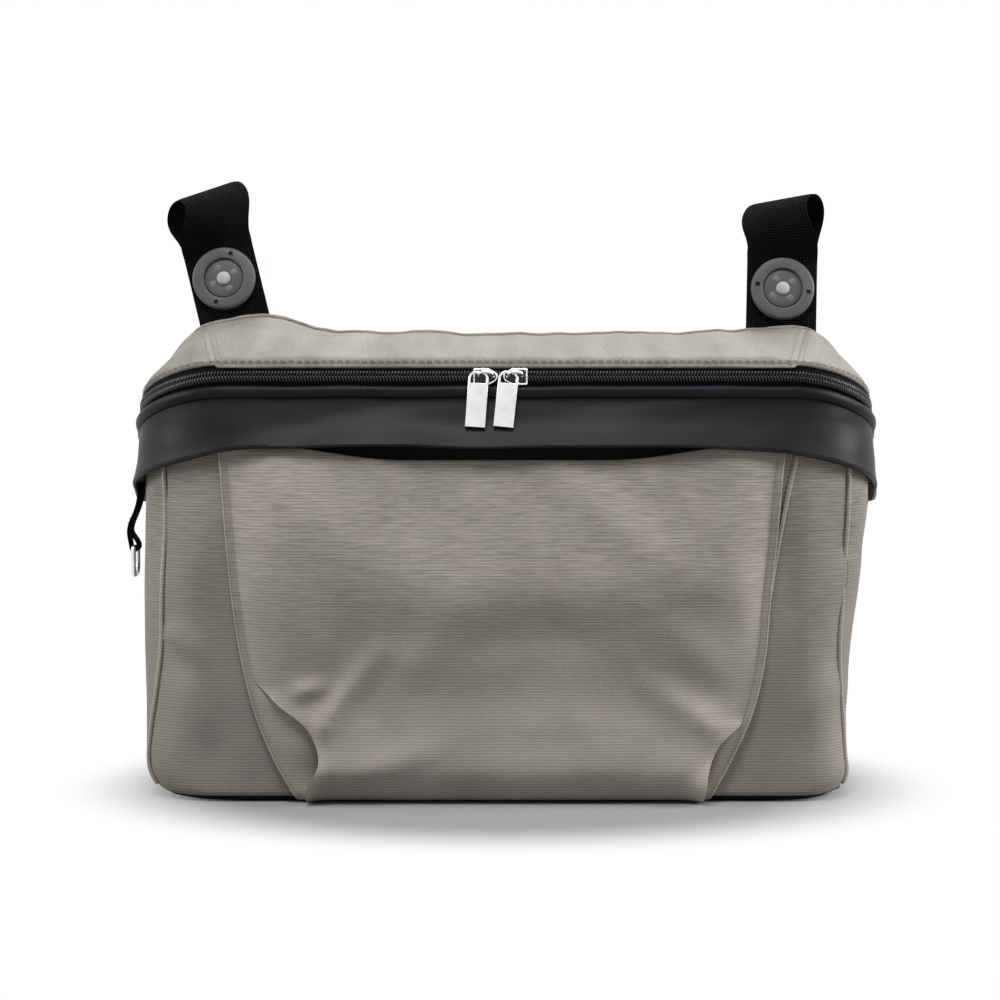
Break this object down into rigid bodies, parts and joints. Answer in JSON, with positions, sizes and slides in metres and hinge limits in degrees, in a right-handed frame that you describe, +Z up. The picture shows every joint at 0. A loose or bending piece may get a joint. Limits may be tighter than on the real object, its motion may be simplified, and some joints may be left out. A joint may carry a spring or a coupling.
{
  "type": "stroller organizer",
  "caption": "Soft zip-top organizer bag with a bellows front pocket, a dark cuff band and webbing loops with round snaps for a stroller handlebar.",
  "frame": {"origin": "middle of the straight front-to-back run of the base, on its underside", "axes": "+X to the right as seen from the front, -Y out of the pocket's side, +Z up"},
  "size_m": [0.3948, 0.1738, 0.3192],
  "materials": {
    "canvas": "ribbed woven cloth",
    "lid_canvas": "smooth woven cloth",
    "cuff": "smooth coated cloth",
    "black_cloth": "matt",
    "webbing": "woven webbing",
    "coil": "satin",
    "board": "plain",
    "grey_plastic": "satin",
    "polished": "polished"
  },
  "bodies": {
    "bag": {"front_panel": "canvas", "left_side_panel": "canvas", "right_side_panel": "canvas", "back_panel": "canvas", "base_panel": "black_cloth", "base_board": "board", "back_board": "board", "lining": "black_cloth", "lid_panel": "lid_canvas", "lid_left_gusset": "lid_canvas", "lid_right_gusset": "lid_canvas", "front_pocket": "canvas", "cuff_band": "cuff", "upper_zip_coil": "coil", "lower_zip_coil": "coil", "upper_zip_tape": "black_cloth", "lower_zip_tape": "black_cloth", "zip_binding": "black_cloth", "left_zip_stop": "polished", "right_zip_stop": "polished", "left_strap": "webbing", "right_strap": "webbing", "left_snap_cap": "grey_plastic", "right_snap_cap": "grey_plastic", "left_snap_post": "grey_plastic", "right_snap_post": "grey_plastic", "left_side_tab": "webbing"},
    "left_slider": {"left_zip_slider": "polished"},
    "right_slider": {"right_zip_slider": "polished"},
    "left_pull": {"left_zip_pull": "polished"},
    "right_pull": {"right_zip_pull": "polished"},
    "ring": {"side_ring": "polished"}
  },
  "joints": [
    {"name": "left_slider_travel", "type": "slide", "parent": "bag", "child": "left_slider", "axis": [-1, 0, 0], "range_m": [0, 0.112]},
    {"name": "right_slider_travel", "type": "slide", "parent": "bag", "child": "right_slider", "axis": [1, 0, 0], "range_m": [0, 0.117]},
    {"name": "left_pull_swing", "type": "hinge", "parent": "left_slider", "child": "left_pull", "pos_m": [-0.0134, -0.0665, 0.211], "axis": [0, 0.9833, -0.1822], "range_deg": [-8, 90]},
    {"name": "right_pull_swing", "type": "hinge", "parent": "right_slider", "child": "right_pull", "pos_m": [0.0013, -0.0665, 0.211], "axis": [0, 0.9833, -0.1822], "range_deg": [-25, 8]},
    {"name": "ring_swing", "type": "hinge", "parent": "bag", "child": "ring", "pos_m": [-0.19311, 0.00353, 0.1235], "axis": [-0.0622, 0.9981, 0], "range_deg": [-5, 110]}
  ]
}
